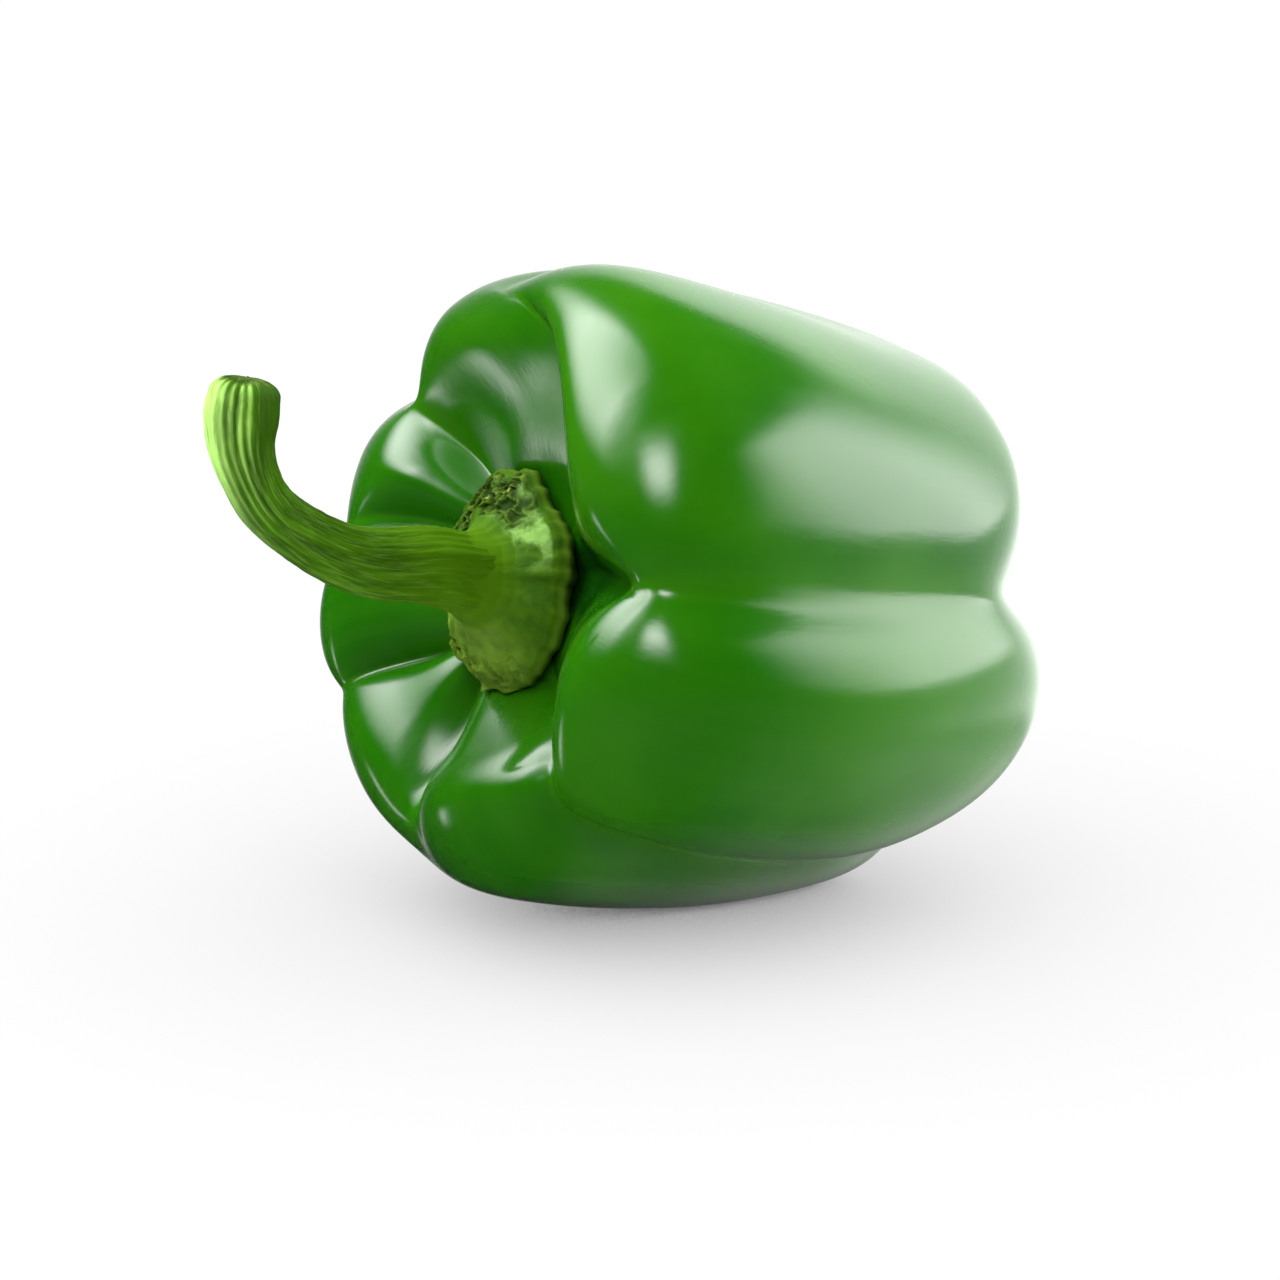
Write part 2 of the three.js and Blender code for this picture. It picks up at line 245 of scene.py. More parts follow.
def ring_mesh(name, rings, first, last, fields=None):
    """rings: rows by columns by xyz in metres. first and last: the end points."""
    rows, cols = rings.shape[:2]
    verts = np.concatenate([np.array(first)[None], rings.reshape(-1, 3), np.array(last)[None]])
    i, j = np.meshgrid(np.arange(rows - 1), np.arange(cols), indexing="ij")
    i, j, k = i.ravel(), j.ravel(), (j.ravel() + 1) % cols
    quads = np.stack([1 + i * cols + j, 1 + (i + 1) * cols + j, 1 + (i + 1) * cols + k, 1 + i * cols + k], 1)
    c = np.arange(cols)
    n = (c + 1) % cols
    start = np.stack([0 * c, 1 + c, 1 + n], 1)
    top = 1 + (rows - 1) * cols
    end = np.stack([0 * c + len(verts) - 1, top + n, top + c], 1)
    mesh = bpy.data.meshes.new(name)
    mesh.from_pydata(verts.tolist(), [], start.tolist() + quads.tolist() + end.tolist())
    u0, u1 = c / cols, (c + 1) / cols
    row = (np.arange(rows) + 1) / (rows + 1)
    uv_start = np.stack([(u0 + u1) / 2, 0 * c, u0, 0 * c + row[0], u1, 0 * c + row[0]], 1)
    uv_quads = np.stack([
        j / cols, row[i], j / cols, row[i + 1],
        (j + 1) / cols, row[i + 1], (j + 1) / cols, row[i],
    ], 1)
    uv_end = np.stack([(u0 + u1) / 2, 0 * c + 1, u1, 0 * c + row[-1], u0, 0 * c + row[-1]], 1)
    layer = mesh.uv_layers.new(name=UV_NAME)
    uvs = np.concatenate([uv_start.ravel(), uv_quads.ravel(), uv_end.ravel()])
    layer.data.foreach_set("uv", uvs.astype(np.float32))
    for key, values in (fields or {}).items():
        flat = np.concatenate([[values[0].mean()], values.ravel(), [values[-1].mean()]]).astype(np.float32)
        mesh.attributes.new(key, "FLOAT", "POINT").data.foreach_set("value", flat)
    mesh.shade_smooth()
    return mesh


def add_piece(name, mesh, node):
    """An object for a finished mesh: it moves with the pepper and stands for one solid."""
    piece = bpy.data.objects.new(name, mesh)
    bpy.context.scene.collection.objects.link(piece)
    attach(piece, "root")
    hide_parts(node)
    print(name, "has", sum(len(p.vertices) - 2 for p in mesh.polygons), "triangles")
    return piece


# %% [markdown]
# ## Gentle swells
# A grown skin is never as even as its formula. A sum of long waves in random directions, with a
# fixed seed, moves it in and out by a fraction of a millimetre, so highlights waver as on a real
# pepper. Waves are used because they are smooth everywhere and cost nothing to repeat.

# %% A seeded field of waves
SEED = 11
rng = np.random.default_rng(SEED)


def waves(count, shortest, longest):
    """Random waves as (directions / length, phases), lengths in mm."""
    direction = rng.normal(size=(count, 3))
    direction /= np.linalg.norm(direction, axis=1, keepdims=True)
    steps = direction * (2 * math.pi / rng.uniform(shortest, longest, (count, 1)))
    return steps, rng.uniform(0, 2 * math.pi, count)


def swell(points_mm, field):
    """The waves' sum at each point, about -1 to 1."""
    steps, phases = field
    total = np.zeros(points_mm.shape[:-1])
    for step, phase in zip(steps, phases):
        total += np.sin(points_mm @ step + phase)
    return total / math.sqrt(len(phases))


def ring_normals(rings):
    """Outward normals of a ring grid, from differences along and around."""
    along = np.gradient(rings, axis=0)
    across = np.roll(rings, -1, 1) - np.roll(rings, 1, 1)
    normals = np.cross(along, across)
    length = np.linalg.norm(normals, axis=-1, keepdims=True)
    return normals / np.maximum(length, 1e-12)


SKIN_WAVES = waves(14, 16, 34)
print("swells made of", len(SKIN_WAVES[1]), "waves")

# %% The fruit's fine skin
FRUIT_ROWS = 240
FRUIT_COLUMNS_PER_LOBE = 44
SWELL_MM = 0.12
CALM_WITHIN = 12
PIT_ANGLE, PIT_HALF_WIDTH = 76, 34
PIT_RADIUS, PIT_EDGE, PIT_FROM_HEIGHT = 19.5, 5, 55
row_places = (np.arange(FRUIT_ROWS) + 1) / (FRUIT_ROWS + 1)
distance, height, angle, share = around(FRUIT_COLUMNS_PER_LOBE, row_places[:, None])
points = in_fruit_frame(distance, height, angle)
normals = ring_normals(points)
calm_at_ends = np.clip(distance / CALM_WITHIN, 0, 1) ** 2
points = points + normals * (SWELL_MM * swell(points, SKIN_WAVES) * calm_at_ends)[..., None]
placed = rest(points)
placed[..., 2] = np.maximum(placed[..., 2], 0)
pole_low, pole_high = rest(points[0].mean(0)), rest(points[-1].mean(0))
# In front of the calyx, between the upper and lower front lobes, a patch that the skin's finish paints
# nearly black: painted shade in the pit.
front = np.clip(1 - np.abs(np.degrees(angle) - PIT_ANGLE) / PIT_HALF_WIDTH, 0, 1)
pit_shade = np.clip(2 * front, 0, 1) * np.clip((PIT_RADIUS - distance) / PIT_EDGE, 0, 1)
pit_shade = pit_shade * (height > PIT_FROM_HEIGHT)
fruit_mesh = ring_mesh("fruit_skin", placed, pole_low, pole_high, {
    "furrow": share,
    "pit_shade": pit_shade,
})
fruit = add_piece("fruit_skin", fruit_mesh, "fruit")

# %% [markdown]
# ## The calyx
# The calyx is a thick fibrous cap that swells out of the stalk. On this pepper it is broken at the
# upper left and at the lower left: there the flesh shows as a sponge of small cells with pale walls,
# whose sunken centres are painted dark as shade, and a thin lip overhangs the hollow. Blotches on
# the cap's upper side are partly its own paler green and partly painted light. The cap is a polar
# grid like the fruit. Its underside follows the skin, which is found by halving: how far along the
# skin is this distance from the axis? The cells come from seeded points: a wall stands where two
# are equally near.

# %% The skin of the hollow at a given distance
HOLLOW_FROM = 10 / 13
HALVINGS = 26


def in_hollow(per_lobe, target):
    """Height of the skin at a distance from the axis (rows by columns, mm), and its angle."""
    heights, angles = [], []
    for lobe, s in columns(per_lobe):
        wanted = target[:, lobe * per_lobe:(lobe + 1) * per_lobe]
        low, high = np.full(wanted.shape, HOLLOW_FROM), np.ones(wanted.shape)
        for _ in range(HALVINGS):
            middle = (low + high) / 2
            outside = skin(lobe, s, middle)[0] > wanted
            low, high = np.where(outside, middle, low), np.where(outside, high, middle)
        _, found, angle, _ = skin(lobe, s, low)
        heights.append(found)
        angles.append(angle)
    return np.concatenate(heights, 1), np.concatenate(angles, 1)


print("hollow found from", HOLLOW_FROM, "of the way to the seat")

# %% The calyx's edge and dome
CALYX_COLUMNS_PER_LOBE = 52
CALYX_ROWS = 130
EDGE_ANGLES = (0, 15, 50, 83, 101, 135, 156, 190, 221, 239, 270, 300, 326, 341, 360)
EDGE_RADII = (12.8, 11.0, 10.4, 9.9, 10.3, 12.4, 13.4, 13.5, 13.4, 12.6, 13.0, 14.7, 15.2, 14.8,
              12.8)
EDGE_WOBBLE = 0.30
DOME_RADII = (4.3, 4.7, 5.2, 6, 7.2, 8.6, 10.2, 11.7, 12.9, 13.6)
DOME_HEIGHTS = (84, 81, 78.8, 77.0, 75.6, 74.8, 74.0, 73.0, 71.9, 70.6)
FULL_RADIUS = 13.6
UNDER_ROWS, UNDER_FROM, UNDER_TO = 16, 0.998, 0.45
RIM_THICKNESS = 0.9
REST_GAP = 0.25
LIP_SHARE, LIP_EASE = 0.86, 0.08

seat_angle = around(CALYX_COLUMNS_PER_LOBE, np.array([[1.0]]))[2]
edge = np.interp(np.degrees(seat_angle) % 360, EDGE_ANGLES, EDGE_RADII)
edge_points = np.stack([edge * np.cos(seat_angle), edge * np.sin(seat_angle), 0 * edge], -1)
edge = edge + EDGE_WOBBLE * swell(edge_points, waves(18, 1.6, 6))
top_shares = np.linspace(DOME_RADII[0] / FULL_RADIUS, 1, CALYX_ROWS)
under_shares = np.linspace(UNDER_FROM, UNDER_TO, UNDER_ROWS)
shares = np.concatenate([top_shares, under_shares])[:, None]
is_top = (np.arange(len(shares)) < CALYX_ROWS)[:, None]
radius = DOME_RADII[0] + (edge - DOME_RADII[0]) * (shares - shares[0]) / (1 - shares[0])
radius = np.where(is_top, radius, shares * edge)
skin_height, calyx_angle = in_hollow(CALYX_COLUMNS_PER_LOBE, radius)
degrees = np.degrees(calyx_angle) % 360
dome = np.interp(shares * FULL_RADIUS, DOME_RADII, DOME_HEIGHTS) + 0 * radius
print("calyx edge from", edge.min().round(1), "to", edge.max().round(1), "mm")


# %% Torn, spongy patches
SEEDS = 190
FAR = 1e9


def patch(centre, half_width, inner, outer):
    """1 inside a patch of the calyx, falling to 0 at its borders: degrees, and shares of the edge."""
    off = np.abs((degrees - centre + 180) % 360 - 180)
    by_angle = np.clip(1.4 - 1.4 * off / half_width, 0, 1)
    return by_angle * np.clip((shares - inner) / 0.06, 0, 1) * np.clip((outer - shares) / 0.04, 0, 1)


def off_the_wall(points_mm, seeds):
    """How far each place is from the wall between its two nearest seeds."""
    first = np.full(points_mm.shape[:-1], FAR)
    second = first.copy()
    for seed in seeds:
        d = np.linalg.norm(points_mm - seed, axis=-1)
        second = np.minimum(second, np.maximum(first, d))
        first = np.minimum(first, d)
    return second - first


flat = np.stack([radius * np.cos(calyx_angle), -radius * np.sin(calyx_angle), 0 * radius], -1)
seed_angle = rng.uniform(0, 2 * math.pi, SEEDS)
seed_radius = np.sqrt(rng.uniform(36, 240, SEEDS))
seeds = np.stack([seed_radius * np.cos(seed_angle), seed_radius * np.sin(seed_angle), 0 * seed_angle], 1)
ragged = np.stack([swell(flat, waves(26, 1.2, 4)) for _ in range(3)], -1) * (0.35, 0.35, 0)
wall_width = np.clip(0.55 + 0.22 * swell(flat, waves(20, 2, 6)), 0.2, 1.2)
wall = np.clip(1 - off_the_wall(flat + ragged, seeds) / wall_width, 0, 1)
grain = swell(flat, waves(40, 0.8, 2.6))
torn = np.maximum(patch(318, 80, 0.55, 0.97), 0.9 * patch(200, 75, 0.72, 0.98))
torn = torn * is_top * np.clip(0.9 + 0.45 * swell(flat, waves(20, 2.5, 7)), 0, 1)
spongy = patch(195, 80, 0.45, 1.0) * is_top
# Blotches on the cap's upper side: partly the calyx's own paler green, partly painted light from above.
pale_and_lit = patch(22, 62, 0.50, 0.93) * is_top
relief = torn * (-1.15 + 1.05 * wall + 0.22 * grain)
relief += 0.22 * np.cos(5 * calyx_angle + 0.6) * np.clip(1 - np.abs(shares - 0.55) / 0.25, 0, 1)
relief += 0.12 * swell(flat, waves(24, 2.0, 5.0)) * np.clip((shares - 0.4) / 0.2, 0, 1)
top = np.maximum(dome + relief, skin_height + RIM_THICKNESS)
resting = skin_height + REST_GAP
room = np.maximum(top[CALYX_ROWS - 1] - RIM_THICKNESS - resting, 0)
lip = np.clip((shares - LIP_SHARE) / LIP_EASE, 0, 1) * room
calyx_height = np.where(is_top, top, resting + lip)
calyx_points = np.stack([flat[..., 0], flat[..., 1], calyx_height], -1)
calyx_rings = rest(calyx_points)
middle_top, middle_under = rest(calyx_points[0].mean(0)), rest(calyx_points[-1].mean(0))
calyx_mesh = ring_mesh("calyx_cap", calyx_rings[::-1], middle_under, middle_top, {
    "torn": torn[::-1],
    "wall": (wall * is_top)[::-1],
    "pale_and_lit": pale_and_lit[::-1],
    "spongy": spongy[::-1],
    "outward": np.broadcast_to(shares, radius.shape)[::-1],
})
calyx = add_piece("calyx_cap", calyx_mesh, "calyx")

# %% [markdown]
# ## The stalk
# The stalk follows a path, so Geometry Nodes make it: a curve with a radius at each point is
# swept with a round section, and then each point moves out or in by a wave round the section,
# which gives the ribs, and by a long noise, which makes it knobbly. The path leaves the calyx
# along the fruit's axis, bends up and ends in a blunt rounded knob.

# %% The stalk's middle line
STALK_LINE = [
    (0, 74.0), (0, 79), (0.1, 85), (-0.7, 92.5), (-0.3, 98.3), (1.3, 104.2), (3.6, 109.6),
    (6.6, 113.0), (10.3, 115.5), (13.8, 116.5), (16.4, 116.8),
]
STALK_RADII = (4.9, 4.9, 4.75, 4.35, 3.85, 3.5, 3.35, 3.4, 3.9, 4.4, 4.2)
STALK_STEPS = 150
TIP_STEPS = 22
TIP_DOME = 2.2
TIP_POINT, TIP_ROUNDNESS = 0.03, 0.8


def catmull_rom(values, t):
    """A smooth curve through a list of values, at t from 0 to 1."""
    values = np.asarray(values, float)
    padded = np.concatenate([2 * values[:1] - values[1:2], values, 2 * values[-1:] - values[-2:-1]])
    x = np.asarray(t) * (len(values) - 1)
    i = np.minimum(x.astype(int), len(values) - 2)
    f = (x - i).reshape(-1, *([1] * (values.ndim - 1)))
    a, b, c, d = (padded[i + k] for k in range(4))
    return 0.5 * (2 * b + (c - a) * f + (2 * a - 5 * b + 4 * c - d) * f**2 + (3 * b - a - 3 * c + d) * f**3)


steps = np.linspace(0, 1, STALK_STEPS)
line, radii = catmull_rom(STALK_LINE, steps), catmull_rom(STALK_RADII, steps)
ahead = (line[-1] - line[-2]) / np.linalg.norm(line[-1] - line[-2])
quarter = np.linspace(0, math.pi / 2, TIP_STEPS + 1)[1:, None]
line = np.concatenate([line, line[-1] + ahead * TIP_DOME * np.sin(quarter)])
narrowing = TIP_POINT + (1 - TIP_POINT) * np.cos(quarter[:, 0]) ** TIP_ROUNDNESS
radii = np.concatenate([radii, radii[-1] * narrowing])
line_points = rest(np.stack([line[:, 0], 0 * line[:, 0], line[:, 1]], -1))
curve_data = bpy.data.curves.new("stalk_line", "CURVE")
curve_data.dimensions = "3D"
path_line = curve_data.splines.new("POLY")
path_line.points.add(len(line) - 1)
for point, place, radius_mm in zip(path_line.points, line_points, radii):
    point.co = (*place, 1)
    point.radius = radius_mm * MM
curve_object = bpy.data.objects.new("stalk_line", curve_data)
bpy.context.scene.collection.objects.link(curve_object)
print("stalk line is", round(float(np.linalg.norm(np.diff(line, axis=0), axis=1).sum()), 1), "mm long")

# %% [markdown]
# ## Finishes
# Skin, calyx and stalk each get their own node material. A small helper adds nodes and links by
# name, so that each finish reads as a list of what it is made of.


# %% A helper for materials
def new_material(name):
    material = bpy.data.materials.new(name)
    material.use_nodes = True
    return material, material.node_tree, material.node_tree.nodes["Principled BSDF"]


def add(tree, kind, settings=None, **inputs):
    """Adds a node, sets its properties, and links or sets its inputs by name."""
    node = tree.nodes.new(kind)
    for key, value in (settings or {}).items():
        setattr(node, key, value)
    for key, value in inputs.items():
        numbered = key[0] == "i" and key[1:].isdigit()
        socket = node.inputs[int(key[1:]) if numbered else key.replace("_", " ")]
        if isinstance(value, bpy.types.NodeSocket):
            tree.links.new(value, socket)
        else:
            socket.default_value = value
    return node


def noise_of(tree, vector, scale, detail=2.0, roughness=0.5):
    noise = add(tree, "ShaderNodeTexNoise", None, Vector=vector, Scale=scale, Detail=detail,
                Roughness=roughness)
    return noise.outputs["Fac"]


def ramp(tree, value, low, high, to_low=0.0, to_high=1.0):
    node = add(tree, "ShaderNodeMapRange", {"interpolation_type": "SMOOTHSTEP"})
    for index, number in enumerate((low, high, to_low, to_high)):
        node.inputs[index + 1].default_value = number
    tree.links.new(value, node.inputs[0])
    return node.outputs[0]


def mix(tree, share, one, two):
    """Mixes two colours, given as sockets or numbers."""
    node = add(tree, "ShaderNodeMix", {"data_type": "RGBA"})
    for index, value in ((0, share), (6, one), (7, two)):
        if isinstance(value, bpy.types.NodeSocket):
            tree.links.new(value, node.inputs[index])
        else:
            node.inputs[index].default_value = value if index == 0 else (*value, 1)
    return node.outputs[2]


def math_node(tree, operation, one, two):
    node = add(tree, "ShaderNodeMath", {"operation": operation})
    for index, value in enumerate((one, two)):
        if isinstance(value, bpy.types.NodeSocket):
            tree.links.new(value, node.inputs[index])
        else:
            node.inputs[index].default_value = value
    return node.outputs[0]


def attribute(tree, name):
    return add(tree, "ShaderNodeAttribute", {"attribute_name": name}).outputs["Fac"]


def wrapped_uv(tree, around_scale, along_scale):
    """The UV map wound on a cylinder, so that a noise on it has no seam where u starts again."""
    uv = add(tree, "ShaderNodeUVMap", {"uv_map": UV_NAME}).outputs["UV"]
    parts = add(tree, "ShaderNodeSeparateXYZ", None, Vector=uv).outputs
    turn = math_node(tree, "MULTIPLY", parts["X"], 2 * math.pi)
    radius = around_scale / (2 * math.pi)
    x = math_node(tree, "MULTIPLY", math_node(tree, "COSINE", turn, 0.0), radius)
    y = math_node(tree, "MULTIPLY", math_node(tree, "SINE", turn, 0.0), radius)
    z = math_node(tree, "MULTIPLY", parts["Y"], along_scale)
    return add(tree, "ShaderNodeCombineXYZ", None, X=x, Y=y, Z=z).outputs["Vector"]


print("helpers ready")

# %% Waxy green skin
skin_material, tree, shader = new_material("pepper_skin")
where = add(tree, "ShaderNodeTexCoord").outputs["Object"]
DEEP, MID, WARM = (0.008, 0.086, 0.0003), (0.021, 0.124, 0.0008), (0.044, 0.160, 0.0015)
PIT_SHADE = (0.001, 0.022, 0.0005)
clouds = ramp(tree, noise_of(tree, where, 28, 3), 0.35, 0.7)
streaks = ramp(tree, noise_of(tree, wrapped_uv(tree, 90, 2.2), 1, 3, 0.6), 0.35, 0.75)
colour = mix(tree, clouds, DEEP, MID)
colour = mix(tree, math_node(tree, "MULTIPLY", streaks, 0.25), colour, MID)
in_fold = math_node(tree, "MULTIPLY", ramp(tree, attribute(tree, "furrow"), 0.9, 1.0), 0.12)
colour = mix(tree, in_fold, colour, WARM)
# The pit beside the calyx is painted dark green: painted shade.
colour = mix(tree, ramp(tree, attribute(tree, "pit_shade"), 0.0, 1.0, 0.0, 0.85), colour, PIT_SHADE)
tree.links.new(colour, shader.inputs["Base Color"])
streak_roughness = math_node(tree, "MULTIPLY", streaks, 0.03)
roughness = math_node(tree, "ADD", ramp(tree, clouds, 0, 1, 0.15, 0.18), streak_roughness)
tree.links.new(roughness, shader.inputs["Roughness"])
shader.inputs["Specular IOR Level"].default_value = 0.5
shader.inputs["Subsurface Weight"].default_value = 0.08
shader.inputs["Subsurface Radius"].default_value = (0.35, 1.0, 0.2)
shader.inputs["Subsurface Scale"].default_value = 0.0015
fine = noise_of(tree, wrapped_uv(tree, 420, 60), 1, 2)
height_sum = math_node(tree, "ADD", math_node(tree, "MULTIPLY", noise_of(tree, where, 900, 1), 0.3), fine)
bump = add(tree, "ShaderNodeBump", None, Height=height_sum, Strength=0.05, Distance=0.0002)
tree.links.new(bump.outputs["Normal"], shader.inputs["Normal"])
fruit.data.materials.append(skin_material)
print("skin finish has", len(tree.nodes), "nodes")

# %% Fibrous calyx
calyx_material, tree, shader = new_material("calyx_fibre")
where = add(tree, "ShaderNodeTexCoord").outputs["Object"]
OLIVE, LEAF, PALE_AND_LIT = (0.020, 0.066, 0.0004), (0.040, 0.105, 0.0010), (0.170, 0.320, 0.070)
CELL_SHADE, CELL_WALL, CREAM = (0.010, 0.028, 0.0006), (0.055, 0.115, 0.006), (0.300, 0.360, 0.070)
WORN, NECK = (0.105, 0.200, 0.014), (0.058, 0.152, 0.0008)
lines = noise_of(tree, wrapped_uv(tree, 40, 3), 1, 4, 0.6)
blotch = noise_of(tree, where, 260, 4, 0.6)
colour = mix(tree, ramp(tree, lines, 0.35, 0.7), OLIVE, LEAF)
colour = mix(tree, ramp(tree, attribute(tree, "outward"), 0.36, 0.66, 0.9, 0.0), colour, NECK)
# The upper side's blotches: partly paler colour, partly painted light from above.
lit_pale_share = math_node(tree, "MULTIPLY", ramp(tree, attribute(tree, "pale_and_lit"), 0.1, 0.8),
                       ramp(tree, blotch, 0.42, 0.62))
colour = mix(tree, math_node(tree, "MULTIPLY", lit_pale_share, 0.9), colour, PALE_AND_LIT)
rim = math_node(tree, "MULTIPLY", ramp(tree, attribute(tree, "outward"), 0.965, 0.985), 0.7)
colour = mix(tree, rim, colour, CELL_WALL)
torn_share = ramp(tree, attribute(tree, "torn"), 0.1, 0.6)
# Sunken cell centres are painted dark: painted shade in the hollows of the sponge.
sponge = mix(tree, ramp(tree, attribute(tree, "wall"), 0.2, 1.0), CELL_SHADE, CELL_WALL)
fleck = ramp(tree, noise_of(tree, where, 620, 3, 0.6), 0.62, 0.72)
sponge = mix(tree, math_node(tree, "MULTIPLY", fleck, 0.6), sponge, CREAM)
colour = mix(tree, torn_share, colour, sponge)
worn = math_node(tree, "MULTIPLY", ramp(tree, attribute(tree, "spongy"), 0.0, 0.8),
                 ramp(tree, blotch, 0.3, 0.6, 0.35, 0.9))
colour = mix(tree, worn, colour, WORN)
tree.links.new(colour, shader.inputs["Base Color"])
tree.links.new(ramp(tree, blotch, 0.3, 0.7, 0.5, 0.8), shader.inputs["Roughness"])
shader.inputs["Specular IOR Level"].default_value = 0.06
crumbs = math_node(tree, "MULTIPLY", noise_of(tree, where, 1400, 3), torn_share)
rough_height = math_node(tree, "ADD", lines, crumbs)
bump = add(tree, "ShaderNodeBump", None, Height=rough_height, Strength=0.45, Distance=0.0004)
tree.links.new(bump.outputs["Normal"], shader.inputs["Normal"])
calyx.data.materials.append(calyx_material)
print("calyx finish has", len(tree.nodes), "nodes")

# %% Ribbed stalk
stalk_material, tree, shader = new_material("stalk_fibre")
where = add(tree, "ShaderNodeTexCoord").outputs["Object"]
GREEN, LIGHT, SHADE = (0.044, 0.130, 0.0010), (0.360, 0.640, 0.140), (0.016, 0.052, 0.0005)
DRY, ROOT = (0.070, 0.110, 0.020), (0.062, 0.165, 0.0008)
TO_RIGHT = (0.79, -0.61, 0)
along_value = attribute(tree, "along")
round_stalk = add(tree, "ShaderNodeCombineXYZ", None, X=attribute(tree, "side_x"),
                  Y=attribute(tree, "side_y"), Z=along_value).outputs["Vector"]


def stretched(scale_round, scale_along, detail, roughness=0.5):
    """A noise drawn out along the stalk."""
    scale = (scale_round, scale_round, scale_along)
    drawn_out = add(tree, "ShaderNodeMapping", None, Vector=round_stalk, Scale=scale)
    return noise_of(tree, drawn_out.outputs["Vector"], 1, detail, roughness)


stripes, fine_lines = stretched(3.2, 7, 4, 0.6), stretched(16, 14, 2)
colour = mix(tree, ramp(tree, stripes, 0.3, 0.7), SHADE, GREEN)
colour = mix(tree, ramp(tree, fine_lines, 0.45, 0.8, 0, 0.16), colour, LIGHT)
colour = mix(tree, ramp(tree, along_value, 0.18, 0.42, 0.6, 0.0), colour, ROOT)
normal = add(tree, "ShaderNodeTexCoord").outputs["Normal"]
to_right = add(tree, "ShaderNodeVectorMath", {"operation": "DOT_PRODUCT"}, i0=normal,
               i1=TO_RIGHT).outputs["Value"]
# Towards the tip the stalk's left side is painted pale: painted light from the left.
toward_tip = ramp(tree, along_value, 0.55, 0.9)
painted_light_side = math_node(tree, "MULTIPLY", toward_tip, ramp(tree, to_right, -0.7, 0.3, 1.0, 0.0))
painted_light_side = math_node(tree, "MULTIPLY", painted_light_side, ramp(tree, stripes, 0.35, 0.6, 0.45, 1.0))
colour = mix(tree, painted_light_side, colour, LIGHT)
# Towards the tip the stalk's right side is painted dark: painted shade.
painted_shade_side = math_node(tree, "MULTIPLY", ramp(tree, along_value, 0.7, 0.9, 0, 0.85),
                      ramp(tree, to_right, 0.15, 0.75))
colour = mix(tree, painted_shade_side, colour, SHADE)
cut = ramp(tree, along_value, 0.985, 0.995)
mottle = ramp(tree, noise_of(tree, where, 900, 4, 0.7), 0.4, 0.6)
colour = mix(tree, cut, colour, mix(tree, mottle, SHADE, DRY))
tree.links.new(colour, shader.inputs["Base Color"])
tree.links.new(ramp(tree, fine_lines, 0.3, 0.7, 0.55, 0.7), shader.inputs["Roughness"])
shader.inputs["Specular IOR Level"].default_value = 0.04
stripe_height = math_node(tree, "ADD", stripes, math_node(tree, "MULTIPLY", fine_lines, 0.5))
bump = add(tree, "ShaderNodeBump", None, Height=stripe_height, Strength=0.5, Distance=0.0003)
tree.links.new(bump.outputs["Normal"], shader.inputs["Normal"])
print("stalk finish has", len(tree.nodes), "nodes")

# %% Sweep the stalk with Geometry Nodes
group = bpy.data.node_groups.new("ribbed_stalk", "GeometryNodeTree")
group.interface.new_socket("Geometry", in_out="INPUT", socket_type="NodeSocketGeometry")
group.interface.new_socket("Geometry", in_out="OUTPUT", socket_type="NodeSocketGeometry")
STALK_INPUTS = {
    "Sides": ("NodeSocketInt", 120),
    "Ribs": ("NodeSocketFloat", 5.0),
    "Rib depth": ("NodeSocketFloat", 0.05),
    "Groove depth": ("NodeSocketFloat", 0.00007),
    "Twist": ("NodeSocketFloat", 0.12),
    "Knobbly depth": ("NodeSocketFloat", 0.00022),
}
GROOVES = 23
LUMPS_ALONG = 16
for name, (kind, _) in STALK_INPUTS.items():
    group.interface.new_socket(name, in_out="INPUT", socket_type=kind)


def node(kind, settings=None, **inputs):
    return add(group, kind, settings, **inputs)


def calc(operation, one, two=0.0):
    return math_node(group, operation, one, two)


given = node("NodeGroupInput").outputs
path_share = node("GeometryNodeSplineParameter").outputs["Factor"]
path_radius = node("GeometryNodeInputRadius").outputs["Radius"]
path = node("GeometryNodeCaptureAttribute", {"domain": "POINT"})
path.capture_items.new("FLOAT", "along")
path.capture_items.new("FLOAT", "thick")
group.links.new(given["Geometry"], path.inputs["Geometry"])
group.links.new(path_share, path.inputs["along"])
group.links.new(path_radius, path.inputs["thick"])
ring = node("GeometryNodeCurvePrimitiveCircle", {"mode": "RADIUS"}, Resolution=given["Sides"], Radius=1.0)
section = node("GeometryNodeCaptureAttribute", {"domain": "POINT"})
section.capture_items.new("FLOAT", "around")
group.links.new(ring.outputs["Curve"], section.inputs["Geometry"])
group.links.new(node("GeometryNodeSplineParameter").outputs["Factor"], section.inputs["around"])
swept = node("GeometryNodeCurveToMesh", None, Curve=path.outputs["Geometry"],
             Profile_Curve=section.outputs["Geometry"], Scale=path.outputs["thick"],
             Fill_Caps=True)
turn = calc("ADD", section.outputs["around"], calc("MULTIPLY", path.outputs["along"], given["Twist"]))
wave = calc("COSINE", calc("MULTIPLY", calc("MULTIPLY", turn, given["Ribs"]), 2 * math.pi))
groove = calc("COSINE", calc("MULTIPLY", turn, 2 * math.pi * GROOVES))
out_by = calc("MULTIPLY", calc("MULTIPLY", wave, given["Rib depth"]), path.outputs["thick"])
out_by = calc("ADD", out_by, calc("MULTIPLY", groove, given["Groove depth"]))
turn_angle = calc("MULTIPLY", turn, 2 * math.pi)
side_x, side_y = calc("COSINE", turn_angle), calc("SINE", turn_angle)
wound = node("ShaderNodeCombineXYZ", None, X=side_x, Y=side_y,
             Z=calc("MULTIPLY", path.outputs["along"], LUMPS_ALONG))
lumps = node("ShaderNodeTexNoise", None, Vector=wound.outputs["Vector"], Scale=1.6, Detail=3.0,
             Roughness=0.6)
lump = calc("MULTIPLY", calc("SUBTRACT", lumps.outputs["Fac"], 0.5), given["Knobbly depth"])
